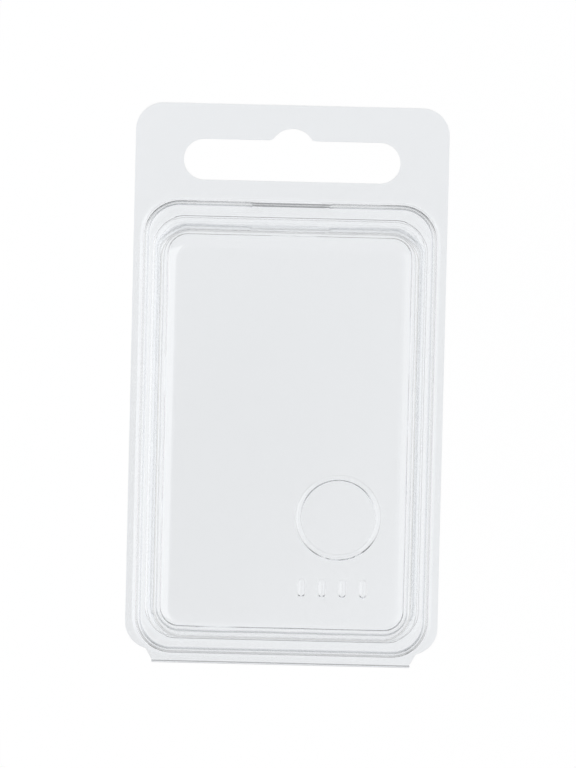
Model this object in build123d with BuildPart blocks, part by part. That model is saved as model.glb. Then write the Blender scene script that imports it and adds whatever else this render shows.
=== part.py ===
from build123d import *
from math import cos, radians, tan
import os

# Clear hang-tab clamshell, formed from one sheet and folded at a crease along its lower edge.
# It lies on its back: +Z comes out of the front face, +Y points at the hang tab, X runs across.
# The origin is the middle of the outline, on the underside of the back flange. Millimetres.

# Sheet and fits
sheet = 0.3  # gauge of the formed sheet
flange_gap = 0.4  # air between the two flanges when the pack is shut
side_clearance = 0.15  # between the nested walls of the two halves, square to the wall
top_clearance = 0.2  # between the two closing ledges
overrun = 1.0  # how far a cutting shape passes the faces that it cuts

# Cavity wall and face
cavity_width = 39.9  # at the ledge
cavity_length = 61.9
cavity_corner = 4.6
wall_draft = 6.0  # degrees
front_depth = 15.9  # lid flange to the face
face_edge = 2.25  # rounding of the face's edge

# Closing step round the cavity
ledge_side = 1.75  # foot of the step to the foot of the cavity wall, at the long sides
ledge_end = 2.55  # the same at the two ends
step_corner = 5.4
step_height = 2.5  # lid flange to the top of the ledge
step_draft = 5.0  # degrees
ledge_edge = 0.6  # rounding of the ledge's outer edge

# Flange outline, the same on both halves
flange_side = 1.3  # foot of the step to the side edge of the flange
fold_margin = 1.55  # hinge fold to the foot of the step
tab_height = 13.95  # foot of the step to the top edge of the hang tab
flange_corner = 4.0  # radius of all four corners
hinge_reach = 2.0  # how far the hinge strip stands out past the flange
hinge_inset = 4.0  # side edge of the flange to the end of the fold
hinge_flare = 1.1  # how much further each end of the strip reaches at the flange

# Hang slot: a long round-ended slot with a small rounded rise in the middle of its upper edge
slot_length = 31.75
slot_width = 6.0
slot_drop = 8.2  # top edge of the tab to the middle of the slot
slot_rise = 1.75  # how far the rise stands above the slot's upper edge
slot_rise_radius = 3.35

# Raised plug of the back half
plug_height = 7.5  # underside of the flange to the top of the plug
plug_edge = 0.8

# Catch: a square-edged pad in the middle of the ledge, opposite the hinge
catch_width = 12.4
catch_depth = 1.3
catch_drop = 1.2

# Overall sizes that follow
step_width = cavity_width + 2 * ledge_side
step_length = cavity_length + 2 * ledge_end
flange_width = step_width + 2 * flange_side
pack_height = fold_margin + step_length + tab_height
hinge_width = flange_width - 2 * hinge_inset

# Levels, from the underside of the back flange up
fold_radius = sheet + flange_gap / 2
fold_level = fold_radius
lid_flange_low = sheet + flange_gap
lid_flange_top = lid_flange_low + sheet
lid_ledge = lid_flange_top + step_height
lid_face = lid_flange_top + front_depth
back_ledge = lid_ledge - sheet - top_clearance

# Places along the pack
fold_edge = -pack_height / 2
form_middle = fold_edge + fold_margin + step_length / 2
slot_middle = pack_height / 2 - slot_drop
flange_low_edge = fold_edge + hinge_reach

# The back half nests under the lid, its upper faces one sheet and one clearance inside the lid's outer faces
nest = sheet + side_clearance


def step_lean(level, inset):
    """How far the step's wall has come in from its foot at a level, on a face inset from the lid's."""
    rise = level - lid_flange_top
    return rise * tan(radians(step_draft)) + inset / cos(radians(step_draft))


def wall_lean(level, inset):
    """How far the cavity wall has come in from its foot on the lid's ledge, in the same way."""
    rise = level - lid_ledge
    return rise * tan(radians(wall_draft)) + inset / cos(radians(wall_draft))


def formed_block(floor, ledge, crown, inset, crown_edge):
    """Solid under one face of the formed sheet: the closing step, and the cavity's block on its ledge."""
    with BuildPart() as block:
        with BuildSketch(Plane.XY.offset(floor)):
            with Locations((0, form_middle)):
                lean = step_lean(floor, inset)
                RectangleRounded(step_width - 2 * lean, step_length - 2 * lean, step_corner - lean)
        extrude(amount=ledge - floor, taper=step_draft)
        with BuildSketch(Plane.XY.offset(ledge)):
            with Locations((0, form_middle)):
                lean = wall_lean(ledge, inset)
                Rectangle(cavity_width - 2 * lean, cavity_length - 2 * lean)
        extrude(amount=crown - ledge, taper=wall_draft)
        wall_corners = block.edges(Select.LAST).filter_by(Plane.XY, reverse=True)
        fillet(wall_corners, cavity_corner - inset)
        fillet(block.faces().sort_by(Axis.Z)[-1].edges(), crown_edge)
    return block.part


def closing_block(floor, ledge, crown, inset, crown_edge):
    """A formed block with its ledge's outer edge rounded, but square over the catch."""
    with BuildPart() as block:
        add(formed_block(floor, ledge, crown, inset, crown_edge))
        ledge_face = block.faces().filter_by(Plane.XY).group_by(Axis.Z)[1][0]
        fillet(ledge_face.outer_wire().edges(), ledge_edge)
        foot = ledge - catch_drop
        far_foot = form_middle + step_length / 2 - step_lean(foot, inset)
        far_ledge = form_middle + step_length / 2 - step_lean(ledge, inset)
        with BuildSketch(Plane.YZ):
            with BuildLine():
                Polyline(
                    (far_foot, foot),
                    (far_ledge, ledge),
                    (far_ledge - catch_depth, ledge),
                    (far_ledge - catch_depth, foot),
                    close=True,
                )
            make_face()
        extrude(amount=catch_width / 2 - inset, both=True)
    return block.part


def flange_plate(level):
    """One flange with its hinge strip and hang slot, from its lower face up by one sheet."""
    with BuildPart() as plate:
        with BuildSketch(Plane.XY.offset(level)):
            with Locations((0, (pack_height / 2 + flange_low_edge) / 2)):
                RectangleRounded(flange_width, pack_height / 2 - flange_low_edge, flange_corner)
            with BuildLine():
                half_fold = hinge_width / 2
                half_root = half_fold + hinge_flare
                fold_start = fold_edge + fold_radius
                strip_root = flange_low_edge + flange_corner
                Polyline(
                    (-half_fold, fold_start),
                    (half_fold, fold_start),
                    (half_root, flange_low_edge),
                    (half_root, strip_root),
                    (-half_root, strip_root),
                    (-half_root, flange_low_edge),
                    close=True,
                )
            make_face()
            with Locations((0, slot_middle)):
                SlotOverall(slot_length, slot_width, mode=Mode.SUBTRACT)
            with Locations((0, slot_middle + slot_width / 2 + slot_rise - slot_rise_radius)):
                Circle(slot_rise_radius, mode=Mode.SUBTRACT)
        extrude(amount=sheet)
    return plate.part


def fold_lip(direction):
    """One half's quarter round of the fold: direction is 1 above the crease and -1 below it."""
    centre = fold_edge + fold_radius
    bend = fold_radius - sheet
    with BuildPart() as lip:
        with BuildSketch(Plane.YZ):
            with BuildLine():
                outer = CenterArc((centre, fold_level), fold_radius, 180, -90 * direction)
                inner = CenterArc((centre, fold_level), bend, 180, -90 * direction)
                Line(outer @ 0, inner @ 0)
                Line(outer @ 1, inner @ 1)
            make_face()
        extrude(amount=hinge_width / 2, both=True)
    return lip.part


# Front half: the deep lid
lid_plate = flange_plate(lid_flange_low)
lid_lip = fold_lip(1)
lid_outer = closing_block(lid_flange_low, lid_ledge, lid_face, 0, face_edge)
lid_inner = formed_block(
    lid_flange_low - overrun, lid_ledge - sheet, lid_face - sheet, sheet, face_edge - sheet
)
with BuildPart() as front_half:
    add(lid_plate)
    add(lid_lip)
    add(lid_outer)
    add(lid_inner, mode=Mode.SUBTRACT)
front_half.part.label = "front_half"

# Back half: the shallow half with the plug
back_plate = flange_plate(0)
back_lip = fold_lip(-1)
back_outer = closing_block(0, back_ledge, plug_height, nest, plug_edge)
back_inner = formed_block(
    -overrun, back_ledge - sheet, plug_height - sheet, nest + sheet, plug_edge - sheet
)
with BuildPart() as back_half:
    add(back_plate)
    add(back_lip)
    add(back_outer)
    add(back_inner, mode=Mode.SUBTRACT)
back_half.part.label = "back_half"

os.makedirs("parts", exist_ok=True)
export_step(front_half.part, "parts/front_half.step")
export_step(back_half.part, "parts/back_half.step")
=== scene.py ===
"""Clear hang-tab clamshell pack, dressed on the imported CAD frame.

Both halves are one thermoformed PET sheet, folded at a crease along the lower edge. Each half is modelled as
the upper face of its sheet and then thickened, so that every turn of the sheet is rounded on both faces.
Sizes are in millimetres, and are handed to Blender in metres.
"""

from __future__ import annotations

import logging
from dataclasses import dataclass
from enum import Enum
from math import atan2, cos, degrees, hypot, radians, sin, tan
from typing import Callable, Sequence

import bmesh
import bpy
from mathutils import Matrix, Vector


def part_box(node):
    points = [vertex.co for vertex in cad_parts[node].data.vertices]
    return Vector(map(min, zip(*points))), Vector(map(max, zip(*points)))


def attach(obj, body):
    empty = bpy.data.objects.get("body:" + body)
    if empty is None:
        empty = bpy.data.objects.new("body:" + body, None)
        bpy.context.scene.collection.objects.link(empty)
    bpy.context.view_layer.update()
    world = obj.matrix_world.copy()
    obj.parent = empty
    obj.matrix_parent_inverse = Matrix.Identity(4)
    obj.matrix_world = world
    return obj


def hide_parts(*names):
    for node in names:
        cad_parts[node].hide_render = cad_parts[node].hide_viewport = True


log = logging.getLogger("clamshell")

MM = 0.001
NEAR = 0.02  # how close, in millimetres, a point counts as being at a level or on a line
LOOSE = 5 * NEAR  # the same for a point on a curve that is drawn in straight runs
MERGE = 2 * NEAR  # points that are closer than this become one
CORNER_STEPS = 14  # straight runs in a quarter corner of an outline
FILLET_STEPS = 7  # straight runs across a rounded turn of the sheet
SHOULDER_STEPS = 4  # straight runs across each shoulder of the hang slot's rise
SHARP_TURN = 45.0  # degrees from which an edge counts as a turn of the sheet
CUT_TURN = 50.0  # degrees from which it counts as a cut edge, once the turns are rounded
SMOOTH_TURN = 20.0  # degrees up to which it is shaded smooth
RANGE_INPUTS = ("From Min", "From Max", "To Min", "To Max")

PlaceTest = Callable[[Vector], bool]  # takes a point in millimetres

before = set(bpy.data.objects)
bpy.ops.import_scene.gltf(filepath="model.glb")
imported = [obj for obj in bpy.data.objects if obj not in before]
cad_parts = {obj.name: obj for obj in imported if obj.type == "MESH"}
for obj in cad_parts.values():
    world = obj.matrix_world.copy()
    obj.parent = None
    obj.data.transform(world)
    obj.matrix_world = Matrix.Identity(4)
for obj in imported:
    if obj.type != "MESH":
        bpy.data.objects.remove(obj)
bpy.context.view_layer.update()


def linear(hex_colour: str) -> tuple[float, float, float, float]:
    """Turns an sRGB hex colour into linear values.

    Args:
        hex_colour: six hex digits after a hash.

    Returns:
        Red, green, blue and an alpha of one.
    """
    shares = [int(hex_colour[at:at + 2], 16) / 255 for at in (1, 3, 5)]
    red, green, blue = [s / 12.92 if s <= 0.04045 else ((s + 0.055) / 1.055) ** 2.4 for s in shares]
    return red, green, blue, 1.0


def metres(*lengths: float) -> tuple[float, ...]:
    """Turns millimetres into metres."""
    return tuple(length * MM for length in lengths)


def add_node(
    tree: bpy.types.NodeTree, kind: str, settings: dict | None = None, **links: bpy.types.NodeSocket
) -> bpy.types.Node:
    """Adds a shader node with its settings and links.

    Args:
        tree: the node tree that takes the node.
        kind: the node's type name without its common start.
        settings: attributes of the node by name, and unlinked inputs by name, or by _ and their number.
        links: the output socket that feeds an input, by the input's name with _ for a space, or by _ and
            its number.

    Returns:
        The new node.
    """
    node = tree.nodes.new(f"ShaderNode{kind}")
    for name, value in (settings or {}).items():
        if name[1:].isdigit():
            node.inputs[int(name[1:])].default_value = value
        elif name in node.inputs:
            node.inputs[name].default_value = value
        else:
            setattr(node, name, value)
    for name, socket in links.items():
        place = int(name[1:]) if name[1:].isdigit() else name.replace("_", " ")
        tree.links.new(socket, node.inputs[place])
    return node


def pick_points(test: PlaceTest) -> None:
    """Selects the edit mesh's points that pass a test of their place, and no others.

    Args:
        test: the test of place.
    """
    bpy.ops.mesh.select_mode(type="VERT")
    bpy.ops.mesh.select_all(action="DESELECT")
    mesh = bmesh.from_edit_mesh(bpy.context.object.data)
    for point in mesh.verts:
        if test(point.co / MM):
            point.select_set(True)
    mesh.select_flush_mode()
    bmesh.update_edit_mesh(bpy.context.object.data)


def pick_edges(test: PlaceTest, least_turn: float = 0.0, most_faces: int = 2) -> None:
    """Selects the edit mesh's edges whose two ends pass a test of place, and no others.

    Args:
        test: the test of place.
        least_turn: least angle in degrees between the two faces of an edge.
        most_faces: most faces that an edge may have.
    """
    bpy.ops.mesh.select_mode(type="EDGE")
    bpy.ops.mesh.select_all(action="DESELECT")
    mesh = bmesh.from_edit_mesh(bpy.context.object.data)
    for edge in mesh.edges:
        faces = len(edge.link_faces)
        turn = degrees(edge.calc_face_angle(0.0)) if faces == 2 else 0.0
        if turn >= least_turn and faces <= most_faces and all(test(p.co / MM) for p in edge.verts):
            edge.select_set(True)
    bmesh.update_edit_mesh(bpy.context.object.data)


def edit_mode(on: bool) -> None:
    """Goes into edit mode, or back to object mode."""
    bpy.ops.object.mode_set(mode="EDIT" if on else "OBJECT")


def draw_ring(
    name: str, width: float, length: float, radius: float, middle: Sequence[float], level: float,
    runs: tuple[int, int] = (1, 1),
) -> bpy.types.Object:
    """Draws a round-cornered rectangle of edges from a plane, and stays in edit mode with all of it selected.

    Args:
        name: the new object's name.
        width: size across, along X.
        length: size along Y.
        radius: corner radius.
        middle: X and Y of the middle.
        level: Z of the ring.
        runs: into how many runs its straight sides along X and along Y are divided.

    Returns:
        The new object.
    """
    if bpy.context.mode != "OBJECT":
        edit_mode(False)
    bpy.ops.object.select_all(action="DESELECT")
    bpy.ops.mesh.primitive_plane_add(size=1)
    ring = bpy.context.object
    ring.name = name
    edit_mode(True)
    bpy.ops.transform.resize(value=(*metres(width, length), 1), center_override=(0, 0, 0))
    bpy.ops.transform.translate(value=metres(*middle, level))
    bpy.ops.mesh.bevel(affect="VERTICES", offset=radius * MM, segments=CORNER_STEPS)
    bpy.ops.mesh.delete(type="ONLY_FACE")
    for across, half, number in ((1, length / 2, runs[0]), (0, width / 2, runs[1])):
        if number > 1:
            pick_edges(lambda p: abs(abs(p[across] - middle[across]) - half) < NEAR / 10)
            bpy.ops.mesh.subdivide(number_cuts=number - 1)
    bpy.ops.mesh.select_all(action="SELECT")
    return ring


def apply_modifier(piece: bpy.types.Object, kind: str, **settings: object) -> None:
    """Adds a modifier to a piece, sets it and applies it.

    Args:
        piece: the mesh object.
        kind: the modifier's type.
        settings: the modifier's attributes by name.
    """
    modifier = piece.modifiers.new(kind.lower(), kind)
    for name, value in settings.items():
        setattr(modifier, name, value)
    bpy.context.view_layer.objects.active = piece
    bpy.ops.object.modifier_apply(modifier=modifier.name)


class Half(Enum):
    """Which half of the folded sheet a piece is, by the way in which its fold turns."""

    LID = 1
    BACK = -1


@dataclass(frozen=True)
class PackSizes:
    """Sizes that both halves share, in millimetres and degrees.

    The flange's outline and the levels of the two faces come from the frame. The rest are the source's own
    sizes, apart from those of the sheet's finer turns.
    """

    flange_width: float
    fold_edge: float  # Y of the crease
    top_edge: float  # Y of the hang tab's upper edge
    face_level: float
    plug_level: float
    sheet: float = 0.3  # gauge
    flange_gap: float = 0.4  # air between the two flanges
    side_clearance: float = 0.15  # between the nested walls
    top_clearance: float = 0.2  # between the two ledges
    cavity_width: float = 39.9  # at the ledge
    cavity_length: float = 61.9
    cavity_corner: float = 4.6
    wall_draft: float = 6.0
    ledge_side: float = 1.75  # foot of the step to the foot of the wall, at the long sides
    ledge_end: float = 2.55  # the same at the two ends
    step_corner: float = 5.4
    step_height: float = 2.5  # lid flange to the ledge
    step_draft: float = 5.0
    fold_margin: float = 1.55  # crease to the foot of the step
    flange_corner: float = 4.0
    hinge_reach: float = 2.0  # how far the hinge strip stands out past the flange
    fold_turn: float = 87.5  # each half's share of the fold, which stops just short of the other's
    flange_rim: float = 0.42  # width of the flat that is drawn with the step
    slot_length: float = 31.75
    slot_width: float = 6.0
    slot_drop: float = 8.2  # top edge of the tab to the middle of the slot
    slot_rise: float = 1.75  # how far the rise stands above the slot's upper edge
    slot_rise_radius: float = 3.35
    slot_shoulder: float = 0.5  # length of the rounding where the rise meets the slot
    catch_width: float = 12.4
    cut_radius: float = 0.1  # of the sheet's cut edges
    side_runs: tuple[int, int] = (26, 44)  # along a short side and along a long one

    @classmethod
    def from_frame(cls) -> PackSizes:
        """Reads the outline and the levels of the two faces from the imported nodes.

        Returns:
            The pack's sizes.
        """
        low, high = [[length / MM for length in corner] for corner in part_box("front_half")]
        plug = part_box("back_half")[1][2] / MM
        return cls(high[0] - low[0], low[1], high[1], high[2], plug)

    @property
    def lid_floor(self) -> float:
        """Upper face of the lid's flange."""
        return 2 * self.sheet + self.flange_gap

    @property
    def lid_ledge(self) -> float:
        """Upper face of the lid's closing ledge at the foot of its wall."""
        return self.lid_floor + self.step_height

    @property
    def back_ledge(self) -> float:
        """Upper face of the back half's closing ledge."""
        return self.lid_ledge - self.sheet - self.top_clearance

    @property
    def nest(self) -> float:
        """How far the back half's upper faces are inside the lid's outer faces."""
        return self.sheet + self.side_clearance

    @property
    def form_middle(self) -> float:
        """Y of the middle of the formed block."""
        return self.fold_edge + self.fold_margin + self.cavity_length / 2 + self.ledge_end

    @property
    def fold_radius(self) -> float:
        """Outer radius of the fold, which is also the level of its centre."""
        return self.sheet + self.flange_gap / 2

    @property
    def fold_start(self) -> float:
        """Y at which the flat of the flanges turns into the fold."""
        return self.fold_edge + self.fold_radius

    def step_size(self, level: float, inset: float) -> tuple[float, float]:
        """Works out the closing step's size at a level.

        Args:
            level: Z of the level.
            inset: how far the face is inside the lid's outer one.

        Returns:
            The width and the length.
        """
        draft = radians(self.step_draft)
        lean = (level - self.lid_floor) * tan(draft) + inset / cos(draft)
        return (
            self.cavity_width + 2 * self.ledge_side - 2 * lean,
            self.cavity_length + 2 * self.ledge_end - 2 * lean,
        )

    def wall_size(self, level: float, inset: float) -> tuple[float, float]:
        """Works out the size of the cavity's block at a level.

        Args:
            level: Z of the level.
            inset: how far the face is inside the lid's outer one.

        Returns:
            The width and the length.
        """
        draft = radians(self.wall_draft)
        lean = (level - self.lid_ledge) * tan(draft) + inset / cos(draft)
        return self.cavity_width - 2 * lean, self.cavity_length - 2 * lean


@dataclass(frozen=True)
class Ring:
    """A raised ring embossed in the face of a block: its middle and its two radii."""

    middle: tuple[float, float]
    inner: float
    outer: float

    def loops(self, level: float) -> list[bpy.types.Object]:
        """Draws the two circles of the ring's foot at a level."""
        return [
            draw_ring("circle", 2 * radius, 2 * radius, radius - NEAR / 2, self.middle, level)
            for radius in (self.inner, self.outer)
        ]

    def holds(self, p: Vector) -> bool:
        """Whether a point is on the ring's foot."""
        reach = hypot(p.x - self.middle[0], p.y - self.middle[1])
        return self.inner - LOOSE < reach < self.outer + LOOSE


@dataclass(frozen=True)
class Bar:
    """A raised bar with round ends embossed in the face of a block: its middle, and its width and length."""

    middle: tuple[float, float]
    size: tuple[float, float]
    corner_share: float = 0.48  # of the width, just short of a half circle

    def loops(self, level: float) -> list[bpy.types.Object]:
        """Draws the outline of the bar's foot at a level."""
        return [draw_ring("bar", *self.size, self.corner_share * self.size[0], self.middle, level)]

    def holds(self, p: Vector) -> bool:
        """Whether a point is on the bar's foot."""
        return all(abs(p[axis] - self.middle[axis]) < self.size[axis] / 2 + NEAR for axis in (0, 1))


@dataclass
class FormedHalf:
    """One half of the pack: a flange with its hang slot, a closing step and a block, all of one thin sheet.

    Reach is the distance outwards from the foot of the block's wall, seen from above.
    """

    sizes: PackSizes
    half: Half
    name: str
    node: str
    body: str
    floor: float  # level of the flange's upper face
    ledge: float  # level of the closing step's ledge, with its bead
    crown: float  # level of the block's face
    inset: float  # how far the upper face is inside the lid's
    foot_radius: float  # where the flange turns up into the step
    ledge_radius: float  # of the ledge's outer edge
    root_radius: float  # where the ledge turns up into the block's wall
    crown_radius: float  # of the edge of the block's face
    bead_rise: float = 0.0  # how far the bead on the ledge stands above the foot of the wall
    bead_flank: float = 0.5  # width of the bead's slope down to the foot of the wall
    bead_radius: float = 0.5
    bead_reach: float = 0.7  # reach within which a turn on the ledge is the bead's
    edge_reach: float = 0.8  # reach beyond which it is the ledge's outer edge
    gauge_reach: float = 0.167  # reach from which the sheet has its full gauge
    drawn_share: float = 1.0  # of the gauge, where forming has drawn the wall and the face thin
    marks: Sequence[Ring | Bar] = ()
    # Inset and rise of each run of a mark's side, from its foot up
    mark_slopes: Sequence[tuple[float, float]] = ((0.12, 0.14), (0.2, 0.12), (0.2, 0.05))
    waver: float = 0.0  # how far the edge of the block's face strays inwards
    wave_length: float = 5.0  # of that waver along the edge

    @property
    def root(self) -> float:
        """Level of the foot of the block's wall, which is lower than a bead on the ledge."""
        return self.ledge - self.bead_rise

    def at(self, level: float) -> PlaceTest:
        """A test for points at a level."""
        return lambda p: abs(p.z - level) < NEAR

    def draw_step(self) -> bpy.types.Object:
        """Draws the closing step from a narrow rim on the flange up to its ledge.

        Returns:
            An object with the step's rim and wall.
        """
        s = self.sizes
        foot = s.step_size(self.floor, self.inset)
        top = s.step_size(self.ledge, self.inset)
        middle = (0.0, s.form_middle)
        step = draw_ring("step", *foot, s.step_corner - self.inset, middle, self.floor, s.side_runs)
        centre = metres(*middle, self.floor)
        rise = metres(0, 0, self.ledge - self.floor)
        bpy.ops.mesh.extrude_edges_move(TRANSFORM_OT_translate={"value": rise})
        bpy.ops.transform.resize(value=(top[0] / foot[0], top[1] / foot[1], 1), center_override=centre)
        pick_edges(self.at(self.floor))
        bpy.ops.mesh.extrude_edges_move()
        rim = [1 + 2 * s.flange_rim / size for size in foot]
        bpy.ops.transform.resize(value=(*rim, 1), center_override=centre)
        edit_mode(False)
        return step

    def draw_block(self) -> bpy.types.Object:
        """Draws the block's drafted wall with its flat face, and the slope from its foot up to a bead.

        Returns:
            An object with the slope, the wall and the face, which is open if it takes marks.
        """
        s = self.sizes
        foot = s.wall_size(self.root, self.inset)
        top = s.wall_size(self.crown, self.inset)
        middle = (0.0, s.form_middle)
        block = draw_ring("block", *foot, s.cavity_corner - self.inset, middle, self.root, s.side_runs)
        rise = metres(0, 0, self.crown - self.root)
        bpy.ops.mesh.extrude_edges_move(TRANSFORM_OT_translate={"value": rise})
        bpy.ops.transform.resize(
            value=(top[0] / foot[0], top[1] / foot[1], 1), center_override=metres(*middle, self.crown)
        )
        bpy.ops.mesh.edge_face_add()
        if self.marks:
            bpy.ops.mesh.inset(thickness=2 * self.crown_radius * MM)
            bpy.ops.mesh.delete(type="ONLY_FACE")
        if self.bead_rise:
            pick_edges(self.at(self.root))
            bpy.ops.mesh.extrude_edges_move(TRANSFORM_OT_translate={"value": metres(0, 0, self.bead_rise)})
            flank = [1 + 2 * self.bead_flank / size for size in foot]
            bpy.ops.transform.resize(value=(*flank, 1), center_override=metres(*middle, self.ledge))
        edit_mode(False)
        return block

    def draw_outline(self) -> bpy.types.Object:
        """Draws the outer edge of the flange: four round corners, and the strip that runs to the fold.

        Returns:
            An object with one closed loop of edges.
        """
        s = self.sizes
        low = s.fold_edge + s.hinge_reach
        middle = (0.0, (s.top_edge + low) / 2)
        outline = draw_ring(
            "outline", s.flange_width, s.top_edge - low, s.flange_corner, middle, self.floor
        )
        pick_points(lambda p: p.y < low + NEAR / 2)
        bpy.ops.transform.translate(value=metres(0, s.fold_start - low, 0))
        # The first point of each lower corner goes, so that the strip flares into the corner
        first_step = s.flange_corner * (1 - cos(radians(90 / CORNER_STEPS)))
        pick_points(lambda p: low - NEAR < p.y < low + first_step + NEAR)
        bpy.ops.mesh.dissolve_verts()
        edit_mode(False)
        return outline

    def draw_slot(self) -> bpy.types.Object:
        """Draws the hang slot with the rounded rise in its upper edge.

        Returns:
            An object with one closed loop of edges.
        """
        s = self.sizes
        middle = s.top_edge - s.slot_drop
        upper = middle + s.slot_width / 2
        end_radius = s.slot_width / 2 - NEAR / 2
        slot = draw_ring("slot", s.slot_length, s.slot_width, end_radius, (0.0, middle), self.floor)
        bpy.ops.mesh.remove_doubles(threshold=MERGE * MM)
        rise_middle = upper + s.slot_rise - s.slot_rise_radius
        rise_half = (s.slot_rise_radius ** 2 - (upper - rise_middle) ** 2) ** 0.5
        rise_turn = 2 * atan2(rise_half, upper - rise_middle)
        # The middle third of the upper edge is brought to the rise's width and gives way to its arc
        pick_edges(lambda p: abs(p.y - upper) < NEAR / 4)
        bpy.ops.mesh.subdivide(number_cuts=2)
        third = (s.slot_length - s.slot_width) / 6
        pick_edges(lambda p: abs(p.y - upper) < NEAR and abs(p.x) < 2 * third)
        bpy.ops.transform.resize(
            value=(rise_half / third, 1, 1), center_override=metres(0, upper, self.floor)
        )
        bpy.ops.mesh.delete(type="EDGE_FACE")
        pick_points(lambda p: abs(p.y - upper) < NEAR and abs(p.x - rise_half) < LOOSE)
        bpy.ops.mesh.spin(
            steps=2 * CORNER_STEPS, angle=-rise_turn,
            center=metres(0, rise_middle, self.floor), axis=(0, 0, 1),
        )
        bpy.ops.mesh.select_all(action="SELECT")
        bpy.ops.mesh.remove_doubles(threshold=MERGE * MM)
        pick_points(lambda p: abs(p.y - upper) < NEAR and abs(abs(p.x) - rise_half) < LOOSE)
        bpy.ops.mesh.bevel(affect="VERTICES", offset=s.slot_shoulder * MM, segments=SHOULDER_STEPS)
        edit_mode(False)
        return slot

    def join_surface(self, parts: Sequence[bpy.types.Object]) -> bpy.types.Object:
        """Joins the drawn parts into one open surface, rounds each turn of the sheet and turns the fold.

        Args:
            parts: the step, the block, the outline, the slot and the feet of the marks.

        Returns:
            The surface's object.
        """
        s = self.sizes
        bpy.ops.object.select_all(action="DESELECT")
        for part in parts:
            part.select_set(True)
        surface = parts[0]
        bpy.context.view_layer.objects.active = surface
        bpy.ops.object.join()
        surface.name = self.name
        edit_mode(True)
        pick_edges(self.at(self.ledge), most_faces=1)
        bpy.ops.mesh.bridge_edge_loops()
        pick_edges(self.at(self.floor), most_faces=1)
        bpy.ops.mesh.fill()
        if self.marks:
            self.emboss()
        bpy.ops.mesh.select_all(action="SELECT")
        bpy.ops.mesh.normals_make_consistent(inside=False)
        self.round_turn(self.is_ledge_edge, self.ledge_radius, 90 - s.step_draft)
        if self.bead_rise:
            flank = degrees(atan2(self.bead_rise, self.bead_flank))
            self.round_turn(self.is_bead_edge, self.bead_radius, flank, least_turn=flank / 2)
            self.round_turn(self.at(self.root), self.root_radius, 90 - s.wall_draft + flank)
        else:
            self.round_turn(self.is_wall_root, self.root_radius, 90 - s.wall_draft)
        self.round_turn(self.at(self.floor), self.foot_radius, 90 - s.step_draft)
        self.round_turn(self.is_crown_edge, self.crown_radius, 90 - s.wall_draft)
        self.turn_fold()
        edit_mode(False)
        return surface

    def emboss(self) -> None:
        """Fills the face round the feet of the marks, and raises each mark with sloped sides."""
        pick_edges(self.at(self.crown), most_faces=1)
        bpy.ops.mesh.remove_doubles(threshold=MERGE * MM)
        pick_edges(self.at(self.crown), most_faces=1)
        bpy.ops.mesh.fill()
        for mark in self.marks:
            pick_edges(lambda p: self.at(self.crown)(p) and mark.holds(p), most_faces=1)
            bpy.ops.mesh.mark_sharp()
            if isinstance(mark, Ring):
                bpy.ops.mesh.bridge_edge_loops()
            else:
                bpy.ops.mesh.edge_face_add()
            bpy.ops.mesh.select_mode(type="FACE")
            for slope, rise in self.mark_slopes:
                bpy.ops.mesh.inset(thickness=slope * MM)
                bpy.ops.transform.translate(value=metres(0, 0, rise))

    def group_points(self, surface: bpy.types.Object, test: PlaceTest) -> str:
        """Puts the points that pass a test into a new vertex group.

        Args:
            surface: the active mesh object.
            test: the test of place.

        Returns:
            The group's name.
        """
        bpy.ops.object.vertex_group_add()
        edit_mode(True)
        pick_points(test)
        bpy.context.scene.tool_settings.vertex_group_weight = 1.0
        bpy.ops.object.vertex_group_assign()
        edit_mode(False)
        return surface.vertex_groups.active.name

    def waver_edge(self, surface: bpy.types.Object) -> None:
        """Lets the edge of the block's face waver inwards, as the thin edge of a formed plug does.

        Args:
            surface: the open upper face of the sheet.
        """
        low = self.crown - self.crown_radius
        edge = self.group_points(surface, lambda p: low < p.z < self.crown - NEAR)
        waves = bpy.data.textures.new("edge_waves", "CLOUDS")
        waves.noise_scale = self.wave_length * MM
        apply_modifier(
            surface, "DISPLACE", texture=waves, texture_coords="LOCAL", mid_level=1.0,
            strength=self.waver * MM, vertex_group=edge,
        )

    def reach(self, p: Vector) -> float:
        """Measures how far out a point is from the foot of the block's wall, seen from above.

        Args:
            p: the point in millimetres.

        Returns:
            The distance, which is below zero for a point inside the wall's foot.
        """
        s = self.sizes
        radius = s.cavity_corner - self.inset
        width, length = s.wall_size(self.ledge, self.inset)
        across = abs(p.x) - width / 2 + radius
        along = abs(p.y - s.form_middle) - length / 2 + radius
        return hypot(max(across, 0), max(along, 0)) + min(max(across, along), 0) - radius

    def is_ledge_edge(self, p: Vector) -> bool:
        """Whether a point is on the ledge's outer edge, away from the square catch opposite the hinge."""
        on_catch = p.y > self.sizes.form_middle and abs(p.x) < self.sizes.catch_width / 2 - NEAR
        return self.at(self.ledge)(p) and self.reach(p) > self.edge_reach and not on_catch

    def is_bead_edge(self, p: Vector) -> bool:
        """Whether a point is on the inner edge of the bead on the ledge."""
        return self.at(self.ledge)(p) and self.reach(p) < self.bead_reach

    def is_wall_root(self, p: Vector) -> bool:
        """Whether a point is where the ledge turns up into the block's wall."""
        return self.at(self.ledge)(p) and abs(self.reach(p)) < LOOSE

    def is_crown_edge(self, p: Vector) -> bool:
        """Whether a point is on the edge of the block's face, and not on a mark."""
        return self.at(self.crown)(p) and not any(mark.holds(p) for mark in self.marks)

    def round_turn(
        self, test: PlaceTest, radius: float, turn: float, least_turn: float = SHARP_TURN
    ) -> None:
        """Rounds the sharp edges at a place.

        Args:
            test: the test of place.
            radius: radius of the rounding on the upper face.
            turn: degrees by which the sheet turns there.
            least_turn: least turn of an edge that is rounded.
        """
        pick_edges(test, least_turn=least_turn)
        bpy.ops.mesh.bevel(
            offset=radius * tan(radians(turn / 2)) * MM, segments=FILLET_STEPS, affect="EDGES",
            clamp_overlap=False,
        )

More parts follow.
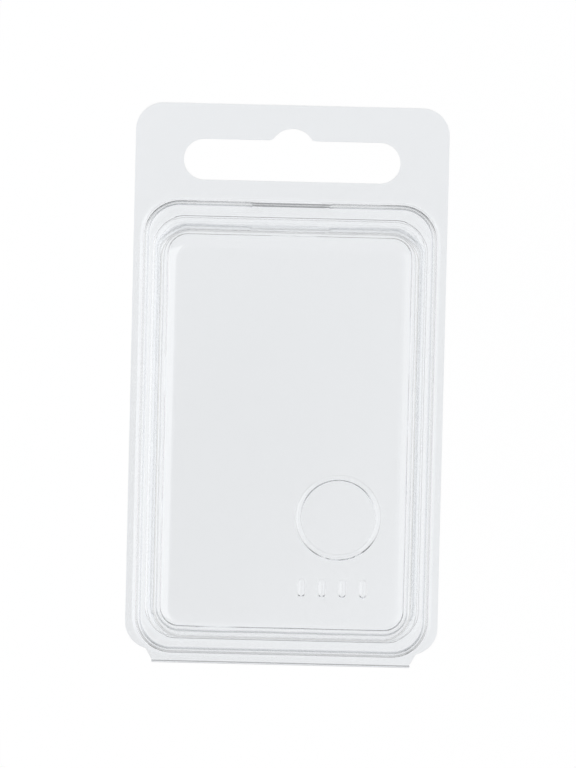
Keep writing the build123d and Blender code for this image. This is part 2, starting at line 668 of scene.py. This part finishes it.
    def turn_fold(self) -> None:
        """Turns the edge of the hinge strip through this half's quarter of the fold."""
        s = self.sizes
        pick_edges(lambda p: p.y < s.fold_start + NEAR)
        bpy.ops.mesh.spin(
            steps=2 * CORNER_STEPS, angle=-radians(s.fold_turn) * self.half.value,
            center=metres(0, s.fold_start, s.fold_radius), axis=(1, 0, 0),
        )

    def thicken(self, surface: bpy.types.Object) -> None:
        """Gives the surface the sheet's thickness, softens its cut edges and shades it smooth.

        Args:
            surface: the open upper face of the sheet.
        """
        s = self.sizes
        bpy.ops.object.select_all(action="DESELECT")
        surface.select_set(True)
        if self.waver:
            self.waver_edge(surface)
        gauge = self.group_points(surface, lambda p: self.reach(p) > self.gauge_reach)
        apply_modifier(
            surface, "SOLIDIFY", thickness=s.sheet * MM, offset=-1, use_even_offset=True,
            vertex_group=gauge, thickness_vertex_group=self.drawn_share,
        )
        apply_modifier(
            surface, "BEVEL", width=s.cut_radius * MM, segments=2, limit_method="ANGLE",
            angle_limit=radians(CUT_TURN),
        )
        bpy.ops.object.shade_smooth_by_angle(angle=radians(SMOOTH_TURN))
        apply_modifier(surface, "WEIGHTED_NORMAL", weight=100, keep_sharp=True)

    def build(self, finish: ClearSheet) -> bpy.types.Object:
        """Models the half, dresses it and puts it in its node's place.

        Args:
            finish: the clear sheet's finish.

        Returns:
            The finished piece.
        """
        parts = [self.draw_step(), self.draw_block(), self.draw_outline(), self.draw_slot()]
        for mark in self.marks:
            parts.extend(mark.loops(self.crown))
            edit_mode(False)
        piece = self.join_surface(parts)
        self.thicken(piece)
        piece.data.materials.clear()
        piece.data.materials.append(finish.material())
        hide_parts(self.node)
        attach(piece, self.body)
        return piece


@dataclass(frozen=True)
class ClearSheet:
    """Thermoformed clear PET sheet, glossy, with a faint cool tint and a slight ripple from forming."""

    tint: str = "#FCFDFE"
    ior: float = 1.575
    roughness: float = 0.03
    ripple_mm: float = 7.0
    ripple_depth_mm: float = 0.004

    def material(self) -> bpy.types.Material:
        """Makes the sheet's material, once for all pieces.

        Returns:
            The material.
        """
        # The flats nearly vanish, and the eye finds the sheet by the fine dark lines that its turns and cut
        # edges gather, by a cool cast where it lies double and by a soft swim in what shows through it
        name = "clear_thermoformed_PET"
        if name in bpy.data.materials:
            return bpy.data.materials[name]
        material = bpy.data.materials.new(name)
        material.use_nodes = True
        tree = material.node_tree
        tree.nodes.clear()
        place = add_node(tree, "TexCoord")
        ripple = add_node(
            tree, "TexNoise", {"Scale": 1 / (self.ripple_mm * MM), "Detail": 1.0},
            Vector=place.outputs["Object"],
        )
        bump = add_node(
            tree, "Bump", {"Strength": 1.0, "Distance": self.ripple_depth_mm * MM},
            Height=ripple.outputs["Fac"],
        )
        clear = add_node(
            tree, "BsdfPrincipled",
            {
                "Base Color": linear(self.tint), "Roughness": self.roughness, "IOR": self.ior,
                "Transmission Weight": 1.0,
            },
            Normal=bump.outputs["Normal"],
        )
        add_node(tree, "OutputMaterial", Surface=clear.outputs["BSDF"])
        return material


@dataclass(frozen=True)
class WhiteFloor:
    """Matt white floor, well behind the pack, with a painted glow: white in the picture's field, and a
    painted fade of that glow to pale grey further out.

    Each pair gives the value where the fade starts and where it ends.
    """

    size: float = 3000.0
    gap: float = 120.0  # below the pack
    paint: str = "#FAFAFA"
    glow_share: float = 0.9  # how much of the floor is seen as its painted glow, and not as lit paint
    field_middle: float = -9.4  # Y of the middle of the white field
    end_fade: tuple[float, float] = (66.0, 130.0)  # along Y, from that middle
    end_glow: tuple[float, float] = (1.06, 0.62)
    side_fade: tuple[float, float] = (52.0, 110.0)  # along X
    side_glow: tuple[float, float] = (1.0, 0.8)

    def material(self) -> bpy.types.Material:
        """Makes the floor's material.

        Returns:
            The material.
        """
        # The paint is matt and even, so that the eye has nothing to hold on to but the pack. Its glow is
        # painted light and shade: white in the field and a painted grey further out, which the steep turns of
        # the sheet bend into sight as dark lines
        material = bpy.data.materials.new("matt_white_paint")
        material.use_nodes = True
        tree = material.node_tree
        tree.nodes.clear()
        path = add_node(tree, "LightPath")
        seen = add_node(
            tree, "Math", {"operation": "ADD", "use_clamp": True},
            _0=path.outputs["Is Camera Ray"], _1=path.outputs["Is Glossy Ray"],
        )
        seen = add_node(
            tree, "Math", {"operation": "ADD", "use_clamp": True},
            _0=seen.outputs[0], _1=path.outputs["Is Transmission Ray"],
        )
        paint = add_node(tree, "BsdfDiffuse", {"Color": linear(self.paint)})
        place = add_node(tree, "TexCoord")
        axes = add_node(tree, "SeparateXYZ", Vector=place.outputs["Object"])
        along = add_node(
            tree, "Math", {"operation": "ADD", "_1": -self.field_middle * MM}, _0=axes.outputs["Y"]
        )
        along = add_node(tree, "Math", {"operation": "ABSOLUTE"}, _0=along.outputs[0])
        ends = add_node(
            tree, "MapRange", dict(zip(RANGE_INPUTS, (*metres(*self.end_fade), *self.end_glow))),
            Value=along.outputs[0],
        )
        across = add_node(tree, "Math", {"operation": "ABSOLUTE"}, _0=axes.outputs["X"])
        sides = add_node(
            tree, "MapRange", dict(zip(RANGE_INPUTS, (*metres(*self.side_fade), *self.side_glow))),
            Value=across.outputs[0],
        )
        # Painted shade: the floor's glow fades from white in the field to grey further out, and that grey
        # shows as dark lines in the sheet's turns
        fade = add_node(tree, "Math", {"operation": "MULTIPLY"}, _0=ends.outputs[0], _1=sides.outputs[0])
        glow = add_node(tree, "Emission", {"Color": (1, 1, 1, 1)}, Strength=fade.outputs[0])
        share = add_node(
            tree, "Math", {"operation": "MULTIPLY", "_1": self.glow_share}, _0=seen.outputs[0]
        )
        lit = add_node(tree, "MixShader", _0=share.outputs[0], _1=paint.outputs[0], _2=glow.outputs[0])
        add_node(tree, "OutputMaterial", Surface=lit.outputs[0])
        return material

    def lay(self) -> None:
        """Lays the floor as part of the stage."""
        bpy.ops.object.select_all(action="DESELECT")
        bpy.ops.mesh.primitive_plane_add(size=self.size * MM, location=metres(0, 0, -self.gap))
        floor = bpy.context.object
        floor.name = "floor"
        floor.data.materials.append(self.material())


@dataclass(frozen=True)
class Room:
    """Grey room round the pack, dimmer to the right and towards both ends, with a dark patch overhead.

    Places are parts of a direction of length one. Each pair gives the value where a change starts and where
    it ends.
    """

    colour: str = "#E8EAEE"
    patch_place: tuple[float, float, float] = (-0.012, -0.093, 0.996)
    patch_turn: float = -30.0  # degrees
    patch_stretch: float = 1.7
    patch_fade: tuple[float, float] = (0.008, 0.04)
    patch_level: tuple[float, float] = (0.09, 0.66)
    side_fade: tuple[float, float] = (0.0, 0.95)  # along X
    side_level: tuple[float, float] = (0.65, 0.5)
    end_fade: tuple[float, float] = (0.1, 0.7)  # along Y, both ways
    end_level: tuple[float, float] = (1.0, 0.75)

    def fill(self) -> None:
        """Makes the world that lights the pack and is mirrored in it."""
        world = bpy.data.worlds.new("studio")
        bpy.context.scene.world = world
        world.use_nodes = True
        tree = world.node_tree
        tree.nodes.clear()
        place = add_node(tree, "TexCoord")
        axes = add_node(tree, "SeparateXYZ", Vector=place.outputs["Generated"])
        patch = add_node(
            tree, "Mapping",
            {
                "vector_type": "TEXTURE", "Location": self.patch_place,
                "Rotation": (0, 0, radians(self.patch_turn)), "Scale": (1.0, self.patch_stretch, 1.0),
            },
            Vector=place.outputs["Generated"],
        )
        away = add_node(tree, "VectorMath", {"operation": "LENGTH"}, _0=patch.outputs["Vector"])
        patch = add_node(
            tree, "MapRange", dict(zip(RANGE_INPUTS, (*self.patch_fade, *self.patch_level))),
            Value=away.outputs["Value"],
        )
        side = add_node(
            tree, "MapRange", dict(zip(RANGE_INPUTS, (*self.side_fade, *self.side_level))),
            Value=axes.outputs["X"],
        )
        along = add_node(tree, "Math", {"operation": "ABSOLUTE"}, _0=axes.outputs["Y"])
        ends = add_node(
            tree, "MapRange", dict(zip(RANGE_INPUTS, (*self.end_fade, *self.end_level))),
            Value=along.outputs[0],
        )
        level = add_node(tree, "Math", {"operation": "MULTIPLY"}, _0=side.outputs[0], _1=ends.outputs[0])
        level = add_node(tree, "Math", {"operation": "MULTIPLY"}, _0=level.outputs[0], _1=patch.outputs[0])
        room = add_node(tree, "Background", {"Color": linear(self.colour)}, Strength=level.outputs[0])
        add_node(tree, "OutputWorld", Surface=room.outputs[0])


@dataclass(frozen=True)
class Softbox:
    """Soft rectangular light that faces the pack: its name, place and size in millimetres, and its watts."""

    name: str
    place: tuple[float, float, float]
    size: tuple[float, float]
    power: float

    def hang(self) -> None:
        """Hangs the light in its place."""
        data = bpy.data.lights.new(self.name, "AREA")
        data.shape = "RECTANGLE"
        data.size, data.size_y = metres(*self.size)
        data.energy = self.power
        light = bpy.data.objects.new(self.name, data)
        bpy.context.scene.collection.objects.link(light)
        light.location = metres(*self.place)
        light.rotation_euler = (-Vector(self.place)).to_track_quat("-Z", "Y").to_euler()


@dataclass(frozen=True)
class Studio:
    """White floor, grey room, two soft lights at the sides and a long lens over the pack's face."""

    distance: float = 1300.0
    view_height: float = 112.8  # of the whole picture, at the pack
    tilt: float = 4.5  # degrees from the face's normal towards the hang tab
    roll: float = 1.36  # degrees, clockwise in the picture
    aim: tuple[float, float, float] = (0.15, 0.3, 0.8)
    sensor_height: float = 24.0
    sight: float = 10000.0  # furthest that the camera sees
    bounces: int = 32  # so that light gets through four faces of sheet and their mirrorings
    floor: WhiteFloor = WhiteFloor()
    room: Room = Room()
    softboxes: tuple[Softbox, ...] = (
        Softbox("left_softbox", place=(-650, 0, 640), size=(900, 1060), power=2.4),
        Softbox("right_softbox", place=(700, 0, 500), size=(800, 1000), power=1.0),
    )

    def place_camera(self) -> None:
        """Places the camera above the pack's face."""
        camera = bpy.data.objects.new("camera", bpy.data.cameras.new("camera"))
        bpy.context.scene.collection.objects.link(camera)
        camera.data.sensor_fit = "VERTICAL"
        camera.data.sensor_height = self.sensor_height
        camera.data.lens = self.sensor_height * self.distance / self.view_height
        camera.data.clip_end = self.sight * MM
        tilt = radians(self.tilt)
        back = Vector((0, sin(tilt), cos(tilt)))
        camera.matrix_world = (
            Matrix.Translation((Vector(self.aim) + back * self.distance) * MM)
            @ Matrix.Rotation(-tilt, 4, "X")
            @ Matrix.Rotation(radians(self.roll), 4, "Z")
        )
        bpy.context.scene.camera = camera

    def build(self) -> None:
        """Sets up the camera, the floor, the lights and the picture's colours."""
        self.place_camera()
        self.floor.lay()
        self.room.fill()
        for softbox in self.softboxes:
            softbox.hang()
        bpy.context.scene.view_settings.view_transform = "Standard"
        paths = bpy.context.scene.cycles
        paths.max_bounces = paths.transmission_bounces = paths.glossy_bounces = self.bounces


def main() -> None:
    """Builds the pack and its studio."""
    logging.basicConfig(level=logging.INFO, format="%(name)s: %(message)s")
    sizes = PackSizes.from_frame()
    finish = ClearSheet()
    bead = 0.4
    lid = FormedHalf(
        sizes, Half.LID, "lid_shell", "front_half", "lid",
        floor=sizes.lid_floor, ledge=sizes.lid_ledge + bead, crown=sizes.face_level, inset=0.0,
        foot_radius=0.4, ledge_radius=0.85, root_radius=0.2, crown_radius=2.5,
        bead_rise=bead, drawn_share=0.5,
    )
    ring = Ring(middle=(7.95, -18.6), inner=5.3, outer=6.4)
    bars = [Bar(middle=(place, -29.0), size=(1.3, 2.9)) for place in (2.8, 5.8, 8.8, 11.8)]
    back = FormedHalf(
        sizes, Half.BACK, "back_shell", "back_half", "back",
        floor=sizes.sheet, ledge=sizes.back_ledge, crown=sizes.plug_level, inset=sizes.nest,
        foot_radius=0.4, ledge_radius=0.75, root_radius=0.7, crown_radius=1.2,
        marks=(ring, *bars), waver=0.35,
    )
    for half in (lid, back):
        piece = half.build(finish)
        log.info("%s: %d faces", piece.name, len(piece.data.polygons))
    Studio().build()


if __name__ == "__main__":
    main()
